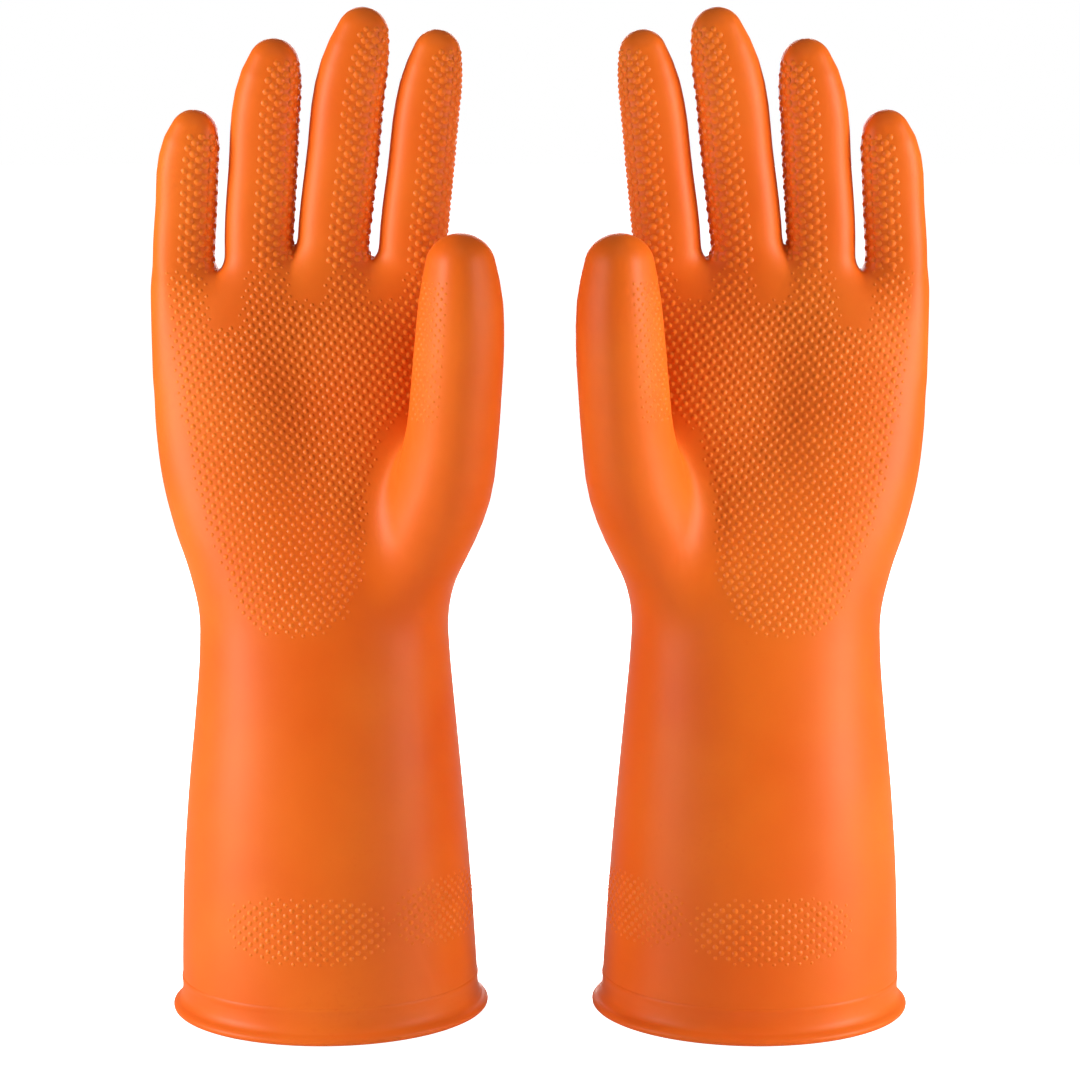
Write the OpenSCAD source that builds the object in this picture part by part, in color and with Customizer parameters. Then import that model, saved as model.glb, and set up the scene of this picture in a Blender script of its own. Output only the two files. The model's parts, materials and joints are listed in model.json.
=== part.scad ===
// A pair of gauntlet rubber gloves standing on their cuffs, palms towards -Y.
// Each glove is one dipped shell. It is divided here at the lines where it flexes, so that the wrist, every
// finger and the thumb can bend. The right hand's glove stands at -X, and the left hand's mirrors it.
// All sizes are in millimetres.

/* [Pair] */
// Distance between the middles of the two cuffs
pair_spacing = 131; // [130:1:200]

/* [Rubber] */
// Thickness of the dipped wall
wall = 0.9; // [0.8:0.1:1.3]
// Clearance between two sections at a flex line
flex_gap = 0.6; // [0.5:0.1:0.8]

/* [Rim] */
// Height of the rolled bead round the cuff's mouth
bead_height = 5; // [4:0.5:6]
// How far the bead stands out from the cuff
bead_proud = 2.6; // [1.5:0.1:3]

/* [Bending] */
// Furthest bend towards the palm at the root of a finger
root_bend = 60; // [40:5:60]
// Furthest bend away from the palm at the root of a finger
root_back_bend = 10; // [0:5:10]
// Furthest bend at the middle joint of a finger
mid_bend = 75; // [40:5:75]
// Furthest bend at the last joint of a finger
tip_bend = 45; // [25:5:45]
// Furthest bend of a thumb joint across the palm
thumb_bend = 35; // [20:5:35]
// Furthest bend of a thumb joint away from the palm
thumb_back_bend = 15; // [0:5:15]
// Furthest bend of the wrist towards the palm
wrist_bend = 35; // [10:5:35]
// Furthest bend of the wrist away from the palm
wrist_back_bend = 30; // [10:5:30]

/* [Hidden] */

rubber = "darkorange";
sleeve_sides = 36;  // sides of a cuff's or palm's section
finger_sides = 16;  // sides of a finger's section
depth_share = 0.92; // a finger's depth as a share of its width
hinge_share = 0.5;  // how far a flex line lies from a finger's middle towards its inner side
slice = 1;          // thickness of a section that shapes a hull
reach = 90;         // larger than any section, for the blocks that cut

// Sections of the sleeve and the hand, from the rim up:
// [height, middle x, middle y, half width, half depth, slope down towards the little finger]
CUFF_SECTIONS = [
    [0, 0, 0, 46.8, 41, 0],
    [30, -0.3, 0, 45.9, 40, 0],
    [62, -1, 0, 43.6, 37, 0],
    [95, -1.3, 0.5, 40.4, 32.5, 0],
    [122, -1.7, 1, 38.7, 29.5, 0]
];
PALM_SECTIONS = [
    [118, -1.7, 1, 38.8, 29.9, 0],
    [133, -2.7, 1.5, 39.8, 28, 0],
    [146, -4.6, 2, 42, 26.3, 0],
    [160, -6.3, 3, 44.4, 24.2, 0],
    [176, -7.4, 4, 46.2, 21.4, 0],
    [200, -8.2, 5, 47.2, 17.8, 0],
    [219, -8.6, 5.5, 46.4, 14.5, 4],
    [230, -8.6, 5.5, 37, 6, 6]
];
wrist = [-1.7, 1, 120]; // middle of the wrist's flex line

// Each finger: [root's middle, lean towards the thumb, lengths, pitches towards the palm, half widths, tip]
// The lengths run between the root, the middle joint, the last joint and the end. The half widths are
// at the root, the middle joint, the last joint and the pad, and tip is the radius of the end.
INDEX = [[26.6, 5, 243.5], 6.8, [19, 20, 21.6], [2, 6, 9], [11, 10.5, 10.1, 8.9], 7];
MIDDLE = [[2.2, 5, 245], 7.3, [21, 22, 22.8], [2, 6, 9], [11.6, 11.4, 11.1, 10], 7.6];
RING = [[-21.6, 5, 245], 4.6, [18, 18, 20.2], [2, 6, 9], [11.2, 10.95, 10.6, 9.6], 7.6];
LITTLE = [[-44.9, 4.5, 237], 4.5, [14, 13.5, 15.4], [2, 6, 9], [9.8, 9.5, 9.2, 8.4], 6.9];
pad_share = 0.4; // how far the pad's widest place lies from the tip, as a share of the last length
web_depth = 14;  // how far the web between two fingers lies below their roots
foot_depth = 30; // how far a finger's tube runs down into the palm
foot_share = 0.6; // its width there, as a share of its width at the root

// The thumb, from the ball of the thumb to its end: [x, y, z, radius]
THUMB = [
    [22, -4, 131, 13.5],
    [28, -9, 144, 15.2],
    [33.5, -14.5, 158, 14.6],
    [38.2, -21.5, 175, 13.3],
    [39.7, -25, 187, 13],
    [40.6, -27.8, 198, 12.7],
    [41.2, -30, 209, 12.4],
    [41.6, -32.6, 222, 11.4],
    [41.4, -34.4, 232, 9]
];
thumb_joints = [4, 6]; // stations of the thumb's flex lines
thumb_lean = 4;        // lean of those flex lines away from the fingers, in degrees
thumb_pitch = 13;      // and towards the palm's front

function finger(name) =
    name == "index" ? INDEX : name == "middle" ? MIDDLE : name == "ring" ? RING : LITTLE;

// A finger's direction at a pitch towards the palm
function along(f, pitch) = [sin(f[1]) * cos(pitch), -sin(pitch), cos(f[1]) * cos(pitch)];

// The middle of a finger at its root (0), middle joint (1), last joint (2) and end (3)
function joint_middle(f, k) = k == 0 ? f[0] : joint_middle(f, k - 1) + f[2][k - 1] * along(f, f[3][k - 1]);

// The middle of a finger's tube at a distance below its root
function below(f, distance) = f[0] - distance * along(f, f[3][0]);

// The pitch and the place of a finger's flex line
function flex_pitch(f, k) = k == 0 ? f[3][0] : (f[3][k - 1] + f[3][k]) / 2;
function flex_place(f, k) =
    joint_middle(f, k) + hinge_share * depth_share * f[4][k] * along(f, flex_pitch(f, k) + 90);

// The place of a thumb's flex line, which bends towards the fingers
function thumb_flex_place(k) =
    let (s = THUMB[thumb_joints[k]]) [s[0] - hinge_share * s[3], s[1], s[2]];

// ---- shapes that repeat ----

// One oval section of a sleeve, drawn in by inset
module sleeve_section(s, inset) {
    translate([s[1], s[2], s[0]])
        rotate([0, -s[5], 0])
            scale([s[3] - inset, s[4] - inset, 1])
                cylinder(r = 1, h = slice, $fn = sleeve_sides);
}

// A tapering oval sleeve through its sections, drawn in by inset
module sleeve(sections, inset) {
    for (i = [0:len(sections) - 2])
        hull() {
            sleeve_section(sections[i], inset);
            sleeve_section(sections[i + 1], inset);
        }
}

// One oval section of a finger
module finger_section(f, place, pitch, half_width) {
    translate(place)
        rotate([pitch, f[1], 0])
            scale([1, depth_share, 1])
                cylinder(r = half_width, h = slice, $fn = finger_sides);
}

// One end of a finger's round pad
module finger_ball(f, place, pitch, half_width) {
    translate(place)
        rotate([pitch, f[1], 0])
            scale([1, depth_share, 1])
                sphere(r = half_width, $fn = finger_sides);
}

// A whole finger as a solid, drawn in by inset
module finger_solid(f, inset) {
    last = along(f, f[3][2]);
    pad = joint_middle(f, 3) - (f[5] + pad_share * f[2][2]) * last;
    end = joint_middle(f, 3) - f[5] * last;
    hull() {
        finger_section(f, below(f, foot_depth), f[3][0], foot_share * f[4][0] - inset);
        finger_section(f, below(f, web_depth), f[3][0], f[4][0] - inset);
    }
    hull() {
        finger_section(f, below(f, web_depth), f[3][0], f[4][0] - inset);
        finger_section(f, joint_middle(f, 1), f[3][0], f[4][1] - inset);
    }
    hull() {
        finger_section(f, joint_middle(f, 1), f[3][0], f[4][1] - inset);
        finger_section(f, joint_middle(f, 2), flex_pitch(f, 2), f[4][2] - inset);
    }
    hull() {
        finger_section(f, joint_middle(f, 2), flex_pitch(f, 2), f[4][2] - inset);
        finger_ball(f, pad, f[3][2], f[4][3] - inset);
    }
    hull() {
        finger_ball(f, pad, f[3][2], f[4][3] - inset);
        finger_ball(f, end, f[3][2], f[5] - inset);
    }
}

// The whole thumb as a solid, drawn in by inset
module thumb_solid(inset) {
    for (i = [0:len(THUMB) - 2])
        hull()
            for (s = [THUMB[i], THUMB[i + 1]])
                translate([s[0], s[1], s[2]])
                    sphere(r = s[3] - inset, $fn = finger_sides);
}

// The space above, or below, a flex line that runs along X at the origin. It leaves half of the room
// for a bend towards -Y (fore) and half of the room for a bend towards +Y (back).
module flex_side(fore, back, above) {
    half = flex_gap / 2;
    mirror([0, 0, above ? 0 : 1])
        rotate([90, 0, 90])
            linear_extrude(height = 2 * reach, center = true)
                polygon([
                    [0, half],
                    [-reach, half + reach * tan(fore / 2)],
                    [-reach, 2 * reach],
                    [reach, 2 * reach],
                    [reach, half + reach * tan(back / 2)]
                ]);
}

module finger_flex_side(f, k, above) {
    fore = k == 0 ? root_bend : k == 1 ? mid_bend : tip_bend;
    back = k == 0 ? root_back_bend : 0;
    translate(flex_place(f, k))
        rotate([flex_pitch(f, k), f[1], 0])
            flex_side(fore, back, above);
}

module thumb_flex_side(k, above) {
    translate(thumb_flex_place(k))
        rotate([thumb_pitch, thumb_lean, 0])
            rotate([0, 0, -90])
                flex_side(thumb_bend, thumb_back_bend, above);
}

module wrist_side(above) {
    translate(wrist)
        flex_side(wrist_bend, wrist_back_bend, above);
}

// ---- the sections of a right-hand glove ----

// The rolled edge of the rubber, with a flat foot
module cuff_bead() {
    mouth = CUFF_SECTIONS[0];
    edge = bead_height / 4;
    color(rubber)
        difference() {
            hull() {
                scale([mouth[3] + bead_proud - edge, mouth[4] + bead_proud - edge, 1])
                    cylinder(r = 1, h = bead_height, $fn = sleeve_sides);
                translate([0, 0, edge])
                    scale([mouth[3] + bead_proud, mouth[4] + bead_proud, 1])
                        cylinder(r = 1, h = bead_height - 2 * edge, $fn = sleeve_sides);
            }
            translate([0, 0, -1])
                linear_extrude(height = bead_height + 2)
                    polygon([
                        for (i = [0:sleeve_sides - 1])
                            let (a = 360 * i / sleeve_sides)
                                [(mouth[3] - wall) * cos(a), (mouth[4] - wall) * sin(a)]
                    ]);
        }
}

// The gauntlet sleeve, from the bead to the wrist
module cuff() {
    color(rubber)
        intersection() {
            difference() {
                sleeve(CUFF_SECTIONS, 0);
                sleeve(CUFF_SECTIONS, wall);
            }
            translate([-reach, -reach, bead_height])
                cube([2 * reach, 2 * reach, 2 * reach]);
            wrist_side(false);
        }
}

// The hand: its palm and back, the ball of the thumb, and the stub that each finger stands on
module palm() {
    color(rubber)
        difference() {
            union() {
                intersection() {
                    sleeve(PALM_SECTIONS, 0);
                    wrist_side(true);
                }
                intersection() {
                    thumb_solid(0);
                    wrist_side(true);
                    thumb_flex_side(0, false);
                }
                for (f = [INDEX, MIDDLE, RING, LITTLE])
                    intersection() {
                        finger_solid(f, 0);
                        finger_flex_side(f, 0, false);
                    }
            }
            translate([0, 0, -wall])
                sleeve(PALM_SECTIONS, wall);
            thumb_solid(wall);
            for (f = [INDEX, MIDDLE, RING, LITTLE])
                finger_solid(f, wall);
        }
}

// One part of a finger: its root (0), middle (1) or tip (2)
module finger_part(name, k) {
    f = finger(name);
    color(rubber)
        difference() {
            intersection() {
                finger_solid(f, 0);
                finger_flex_side(f, k, true);
                if (k < 2)
                    finger_flex_side(f, k + 1, false);
            }
            finger_solid(f, wall);
        }
}

// One part of the thumb: its root or tip
module thumb_part(k) {
    color(rubber)
        difference() {
            intersection() {
                thumb_solid(0);
                thumb_flex_side(k, true);
                if (k < 1)
                    thumb_flex_side(k + 1, false);
            }
            thumb_solid(wall);
        }
}

// Stands a right-hand section in its place in the pair, or its mirror image for the left hand
module on_hand(side) {
    mirror([side == "left" ? 1 : 0, 0, 0])
        translate([-pair_spacing / 2, 0, 0])
            children();
}

for (side = ["right", "left"]) {
    on_hand(side) cuff_bead();
    on_hand(side) cuff();
    on_hand(side) palm();
    for (name = ["index", "middle", "ring", "little"]) {
        on_hand(side) finger_part(name, 0);
        on_hand(side) finger_part(name, 1);
        on_hand(side) finger_part(name, 2);
    }
    on_hand(side) thumb_part(0);
    on_hand(side) thumb_part(1);
}
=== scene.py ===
"""Looks of a pair of gauntlet rubber gloves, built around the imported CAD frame.

Each glove is one dipped shell. Its outer surface is the zero level of a smooth field: an oval sleeve and
hand, with fingers and a thumb melted into it. The inner surface lies one wall thickness inside. The shell is
divided where the CAD bodies meet, every piece spans one joint, and the right hand's glove is mirrored to
make the left hand's. Lengths are in millimetres until a mesh is made.
"""

from __future__ import annotations

import json
import logging
import math
from dataclasses import dataclass, field
from enum import Enum

import bpy
import numpy as np
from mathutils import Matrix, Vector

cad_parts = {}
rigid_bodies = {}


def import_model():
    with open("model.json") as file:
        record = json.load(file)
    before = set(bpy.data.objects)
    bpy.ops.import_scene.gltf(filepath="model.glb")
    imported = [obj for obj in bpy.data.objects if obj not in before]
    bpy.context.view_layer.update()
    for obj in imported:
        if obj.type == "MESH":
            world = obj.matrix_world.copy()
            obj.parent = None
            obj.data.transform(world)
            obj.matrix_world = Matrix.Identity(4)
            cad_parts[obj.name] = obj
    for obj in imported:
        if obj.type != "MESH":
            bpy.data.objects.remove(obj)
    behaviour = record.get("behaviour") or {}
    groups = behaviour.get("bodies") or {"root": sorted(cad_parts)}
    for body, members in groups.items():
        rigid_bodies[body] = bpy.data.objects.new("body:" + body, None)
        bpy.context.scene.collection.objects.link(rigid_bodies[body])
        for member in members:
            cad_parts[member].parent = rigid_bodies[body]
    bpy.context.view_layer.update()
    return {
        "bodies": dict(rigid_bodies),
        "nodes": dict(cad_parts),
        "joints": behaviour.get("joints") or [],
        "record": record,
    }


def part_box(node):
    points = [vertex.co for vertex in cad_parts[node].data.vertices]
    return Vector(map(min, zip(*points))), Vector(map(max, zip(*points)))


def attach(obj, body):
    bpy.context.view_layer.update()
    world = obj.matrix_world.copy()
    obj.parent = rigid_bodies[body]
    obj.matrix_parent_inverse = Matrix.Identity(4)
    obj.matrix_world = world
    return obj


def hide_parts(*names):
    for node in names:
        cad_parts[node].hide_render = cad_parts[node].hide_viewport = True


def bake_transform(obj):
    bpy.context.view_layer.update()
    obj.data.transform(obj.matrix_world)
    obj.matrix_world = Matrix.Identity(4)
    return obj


log = logging.getLogger("gloves")

MM = 0.001
FAR = 1e3
Array = np.ndarray
Pair = tuple[float, float]
Triple = tuple[float, float, float]


class Side(Enum):
    """Which hand a glove is for."""

    RIGHT = "right"
    LEFT = "left"


class Surface(Enum):
    """Which face of the film a polygon lies on, as a material slot's index."""

    OUTSIDE = 0
    INSIDE = 1


# ---- sums that the whole object uses ----


def smooth_least(a: Array, b: Array, width: float) -> Array:
    """Joins two distance fields with a fillet.

    Args:
        a: distances to the first shape.
        b: distances to the second shape.
        width: how far from the join the fillet reaches.

    Returns:
        Distances to the two shapes melted together.
    """
    share = np.clip(0.5 + 0.5 * (b - a) / width, 0, 1)
    return b * (1 - share) + a * share - width * share * (1 - share)


def smooth_curve(stations: Array, values: Array, at: Array) -> Array:
    """Runs a smooth curve through values given at stations.

    Args:
        stations: increasing positions, one per row of values.
        values: one row per station.
        at: positions to read the curve at.

    Returns:
        One row per position.
    """
    slopes = np.gradient(values, stations, axis=0)
    i = np.clip(np.searchsorted(stations, at) - 1, 0, len(stations) - 2)
    step = (stations[i + 1] - stations[i])[:, None]
    t = np.clip((at - stations[i])[:, None] / step, 0, 1)
    rise = t * t * (3 - 2 * t)
    start = t * (1 - t) ** 2 * step * slopes[i]
    end = -t * t * (1 - t) * step * slopes[i + 1]
    return values[i] * (1 - rise) + values[i + 1] * rise + start + end


def unit(vectors: Array) -> Array:
    """Returns the vectors at length one."""
    return vectors / np.maximum(np.linalg.norm(vectors, axis=-1, keepdims=True), 1e-9)


# ---- objects and node trees ----


def add_object(name: str, data: bpy.types.ID) -> bpy.types.Object:
    """Adds an object that holds some data to the scene.

    Args:
        name: the object's name.
        data: its mesh, light or camera.

    Returns:
        The object.
    """
    made = bpy.data.objects.new(name, data)
    bpy.context.scene.collection.objects.link(made)
    return made


def feed(tree: bpy.types.NodeTree, node: bpy.types.Node, inputs: dict) -> None:
    """Sets or links a node's inputs.

    Args:
        tree: the tree that the node is in.
        node: the node.
        inputs: for an input's name or number, its plain value or the output that it is linked from.
    """
    for key, value in inputs.items():
        if isinstance(value, bpy.types.NodeSocket):
            tree.links.new(value, node.inputs[key])
        else:
            node.inputs[key].default_value = value


def add_node(tree: bpy.types.NodeTree, kind: str, inputs: dict, **settings: object) -> bpy.types.Node:
    """Adds a node to a tree.

    Args:
        tree: the tree.
        kind: the node's type.
        inputs: what its inputs are set to or linked from.
        settings: the node's own choices, which are made before its inputs are fed.

    Returns:
        The node.
    """
    node = tree.nodes.new(kind)
    for name, value in settings.items():
        setattr(node, name, value)
    feed(tree, node, inputs)
    return node


def open_group(
    name: str, kind: str, inputs: tuple, outputs: tuple
) -> tuple[bpy.types.NodeTree, bpy.types.Node, bpy.types.Node]:
    """Starts a node group.

    Args:
        name: the group's name.
        kind: the tree's type.
        inputs: each input's name, type and value, or None for no value.
        outputs: each output's name and type.

    Returns:
        The group, and its input and output nodes.
    """
    tree = bpy.data.node_groups.new(name, kind)
    for label, socket_type, value in inputs:
        socket = tree.interface.new_socket(label, in_out="INPUT", socket_type=socket_type)
        if value is not None:
            socket.default_value = value
    for label, socket_type in outputs:
        tree.interface.new_socket(label, in_out="OUTPUT", socket_type=socket_type)
    return tree, tree.nodes.new("NodeGroupInput"), tree.nodes.new("NodeGroupOutput")


# ---- what the frame says ----


@dataclass(frozen=True)
class Placing:
    """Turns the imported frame's metres into one glove's millimetres."""

    frame: dict
    side: Side

    @property
    def middle(self) -> float:
        """Returns where the cuff's middle lies along X, in metres."""
        low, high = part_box(f"{self.side.value}_cuff_bead")
        return (low[0] + high[0]) / 2

    def joint(self, name: str) -> Array:
        """Finds a joint.

        Args:
            name: the joint's name without the side.

        Returns:
            Its place, from the cuff's middle.
        """
        full = f"{self.side.value}_{name}"
        found = next(j for j in self.frame["joints"] if j["name"] == full)
        place = np.array(found["pos_m"], float)
        return (place - [self.middle, 0, 0]) / MM

    def top(self, node: str) -> float:
        """Returns the height of a node's highest point, given its name without the side."""
        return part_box(f"{self.side.value}_{node}")[1][2] / MM


# ---- the glove's shape ----


@dataclass(frozen=True)
class Tube:
    """A finger or the thumb: balls of changing size along a smooth line."""

    points: Array
    radii: Array
    depth_share: float
    samples: int = 18
    squareness: float = 2.5
    twist: float = 0.0

    def line(self) -> tuple[Array, Array]:
        """Samples the line closely.

        Returns:
            The line's points, and the radii there.
        """
        lengths = np.linalg.norm(np.diff(self.points, axis=0), axis=1)
        stations = np.concatenate([[0], np.cumsum(lengths)])
        at = np.linspace(0, stations[-1], self.samples)
        rows = smooth_curve(stations, np.column_stack([self.points, self.radii]), at)
        return rows[:, :3], rows[:, 3]

    def distance(self, points: Array) -> Array:
        """Measures how far points lie outside the tube.

        Args:
            points: one row per point.

        Returns:
            Distances, below zero inside.
        """
        line, radii = self.line()
        squeeze = np.array([1, 1 / self.depth_share, 1])
        p, line = points * squeeze, line * squeeze
        best = np.full(len(points), FAR)
        across, ahead = math.cos(self.twist), math.sin(self.twist)
        for a, b, ra, rb in zip(line, line[1:], radii, radii[1:]):
            along = b - a
            length = math.sqrt(along @ along)
            taper = (ra - rb) / length
            reach = (p - a) @ along / length
            side = p - a - (reach / length)[:, None] * along
            wide = np.hypot(side[:, 0] * across + side[:, 1] * ahead, side[:, 2])
            deep = np.abs(side[:, 1] * across - side[:, 0] * ahead)
            off = (wide**self.squareness + deep**self.squareness) ** (1 / self.squareness)
            t = np.clip((reach - off * taper / math.sqrt(1 - taper**2)) / length, 0, 1)
            gap = np.hypot(reach - t * length, off) - ra - t * (rb - ra)
            best = np.minimum(best, gap)
        return best * (1 + self.depth_share) / 2


@dataclass(frozen=True)
class SleeveForm:
    """The oval sleeve and hand, from the rim up.

    Each row is a height, the left and right edges, the middle and half depth, and how square the oval is.
    """

    rows: tuple[tuple[float, ...], ...] = (
        (0, -47.2, 46.2, 0, 41, 2.0),
        (22, -46.9, 45.0, 0, 40.3, 2.0),
        (46, -46.0, 43.4, 0, 38.6, 2.0),
        (71, -44.1, 41.3, 0, 35.8, 2.0),
        (95, -41.7, 39.1, 0.4, 32.4, 2.0),
        (113, -40.2, 37.5, 0.8, 30.2, 2.05),
        (126, -40.2, 36.8, 1.2, 28.8, 2.1),
        (139, -43.0, 36.9, 1.7, 27.0, 2.2),
        (152, -47.2, 37.4, 2.5, 25.0, 2.3),
        (166, -50.7, 38.0, 3.4, 22.8, 2.35),
        (182, -52.7, 38.4, 4.3, 20.2, 2.4),
        (200, -53.2, 38.4, 5.0, 17.4, 2.4),
        (214, -52.9, 37.8, 5.3, 15.4, 2.35),
        (224, -52.3, 37.0, 5.4, 12.9, 2.2),
        (231, -51.6, 36.4, 5.4, 10.4, 2.1),
        (240, -50.8, 36.0, 5.4, 8.0, 2.0),
    )
    knuckles: tuple[Pair, ...] = (
        (-60, 230), (-45, 230.5), (-33, 230), (-21, 233), (-10, 235.5), (3, 236), (15, 233.5), (27, 231),
        (40, 226),
    )
    top_round: float = 7
    top_share: float = 0.9
    hollow_depth: float = 2.4
    hollow_place: Pair = (-4, 186)
    hollow_size: Pair = (17, 30)
    table_rows: int = 961

    def profile(self, at: Array | float) -> list[Array]:
        """Reads the smooth profile.

        Args:
            at: the heights to read it at.

        Returns:
            The left and right edges, the middle, the half depth and the squareness there.
        """
        rows = np.array(self.rows, float)
        heights = np.linspace(rows[0, 0], rows[-1, 0], self.table_rows)
        table = smooth_curve(rows[:, 0], rows[:, 1:], heights)
        return [np.interp(at, heights, column) for column in table.T]

    def distance(self, points: Array) -> Array:
        """Measures how far points lie outside the sleeve and hand.

        Args:
            points: one row per point.

        Returns:
            Distances, below zero inside.
        """
        x, y, z = points.T
        left, right, middle, depth, power = self.profile(z)
        dx, dy = x - (left + right) / 2, y - middle
        oval = (np.abs(dx / (right - left) * 2) ** power + np.abs(dy / depth) ** power) ** (1 / power)
        wall = np.hypot(dx, dy) * (1 - 1 / np.maximum(oval, 1e-3))
        across = (x - self.hollow_place[0]) / self.hollow_size[0]
        up = (z - self.hollow_place[1]) / self.hollow_size[1]
        wall = wall + np.where(dy < 0, self.hollow_depth * np.exp(-across**2 - up**2), 0)
        spots = np.array(self.knuckles)
        top = (z - smooth_curve(spots[:, 0], spots[:, 1:], x)[:, 0]) * self.top_share
        return -smooth_least(-wall, -top, self.top_round)


@dataclass(frozen=True)
class FingerForm:
    """The sizes of one finger that its joints don't give."""

    name: str
    half_widths: tuple[float, ...]
    foot: Triple
    web: float
    shift: float
    tip_lean: float


FINGER_JOINTS = ("knuckle", "middle_joint", "last_joint")
FINGERS = (
    FingerForm("index", (10.3, 10.0, 9.6, 9.1, 7.2), (24.5, 5, 206), 236.6, 0.4, 1.2),
    FingerForm("middle", (11.0, 10.9, 10.5, 9.9, 7.8), (-0.4, 5, 204), 239.4, 0.7, 2.0),
    FingerForm("ring", (10.5, 10.4, 10.1, 9.7, 7.7), (-21.3, 5, 204), 239.4, 1.5, 1.5),
    FingerForm("little", (9.4, 9.3, 9.1, 8.7, 7.2), (-43.0, 5, 200), 232.2, 1.6, 1.2),
)


@dataclass(frozen=True)
class GloveForm:
    """The whole right-hand glove as one smooth field."""

    placing: Placing
    wall: float = 0.9
    depth_share: float = 0.92
    hinge_share: float = 0.5
    finger_fillet: float = 5.5
    crotch_fillet: float = 0.9
    thumb_fillet: float = 8.0
    foot_share: float = 0.8
    fore_lean: float = -0.05
    pad_reach: float = 0.45
    pad_lean: float = 0.4
    fingers_from: float = 182
    finger_room: float = 24
    thumb_from: Pair = (-8, 98)
    thumb_back: float = 26
    thumb_points: tuple[tuple[float, ...], ...] = (
        (17, 0, 122, 11),
        (23.4, -6.5, 137, 13.2),
        (29.6, -12.5, 151, 14.2),
        (36.0, -18.5, 167, 14.2),
        (39.3, -24, 183, 13.1),
        (40.7, -28, 197, 12.8),
        (41.8, -31, 211, 12.5),
        (42.4, -33.2, 225, 11.5),
        (42.3, -34.4, 234, 9.8),
    )
    sleeve: SleeveForm = field(default_factory=SleeveForm)

    def finger(self, form: FingerForm) -> Tube:
        """Places a finger on its joints.

        Args:
            form: the finger's own sizes.

        Returns:
            The finger's tube, from inside the hand to its tip.
        """
        joints = [self.placing.joint(f"{form.name}_{part}") for part in FINGER_JOINTS]
        shift = [self.hinge_share * self.depth_share * w for w in form.half_widths[:3]]
        centres = [j + [form.shift, s, 0] for j, s in zip(joints, shift)]
        heading = unit(centres[2] - centres[1]) + np.array([0, self.fore_lean, 0])
        tip = form.half_widths[4]
        reach = (self.placing.top(f"{form.name}_tip") - tip - centres[2][2]) / heading[2]
        lean = np.array([form.tip_lean, 0, 0])
        pad = centres[2] + heading * reach * self.pad_reach + lean * self.pad_lean
        end = centres[2] + heading * reach + lean
        radii = (form.half_widths[0] * self.foot_share, *form.half_widths)
        return Tube(np.array([form.foot, *centres, pad, end]), np.array(radii), self.depth_share)

    def fingers(self) -> list[Tube]:
        """Returns the tubes of the four fingers."""
        return [self.finger(form) for form in FINGERS]

    def thumb(self) -> Tube:
        """Shapes the thumb.

        Returns:
            Its tube, from the heel of the hand to its tip.
        """
        rows = np.array(self.thumb_points)
        return Tube(
            rows[:, :3], rows[:, 3], depth_share=1.0, samples=22, squareness=2.4, twist=math.radians(40)
        )

    def distance(self, points: Array) -> Array:
        """Measures how far points lie outside the glove.

        Args:
            points: one row per point.

        Returns:
            Distances, below zero inside the film's outer surface.
        """
        whole = self.sleeve.distance(points)
        x, y, z = points.T
        high = np.flatnonzero(z > self.fingers_from)
        if len(high):
            hand = np.full(len(high), FAR)
            for tube in self.fingers():
                middle = np.interp(z[high], tube.points[:, 2], tube.points[:, 0])
                near = np.flatnonzero(np.abs(x[high] - middle) < self.finger_room)
                hand[near] = smooth_least(hand[near], tube.distance(points[high[near]]), self.crotch_fillet)
            whole[high] = smooth_least(whole[high], hand, self.finger_fillet)
        side, low = self.thumb_from
        beside = np.flatnonzero((z > low) & (y < self.thumb_back) & (x > side))
        if len(beside):
            thumb = self.thumb().distance(points[beside])
            whole[beside] = smooth_least(whole[beside], thumb, self.thumb_fillet)
        return whole

    def slope(self, points: Array, step: float = 0.35) -> tuple[Array, Array]:
        """Measures the field and the way that it rises.

        Args:
            points: one row per point.
            step: how far apart the readings are taken.

        Returns:
            The distances, and the gradients.
        """
        rise = np.empty_like(points)
        for axis in range(3):
            shift = np.zeros(3)
            shift[axis] = step
            rise[:, axis] = (self.distance(points + shift) - self.distance(points - shift)) / (2 * step)
        return self.distance(points), rise

    def settle(self, points: Array, rounds: int, least_rise: float = 0.05) -> Array:
        """Moves points straight onto the surface.

        Args:
            points: one row per point, near the surface.
            rounds: how often to correct them.
            least_rise: the least squared gradient to divide by.

        Returns:
            The moved points.
        """
        for _ in range(rounds):
            gap, rise = self.slope(points)
            points = points - (gap / np.maximum((rise**2).sum(1), least_rise))[:, None] * rise
        return points

    def facing(self, points: Array) -> Array:
        """Returns the outward directions at points on the surface."""
        return unit(self.slope(points)[1])


# ---- from the field to a net of quads ----


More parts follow.
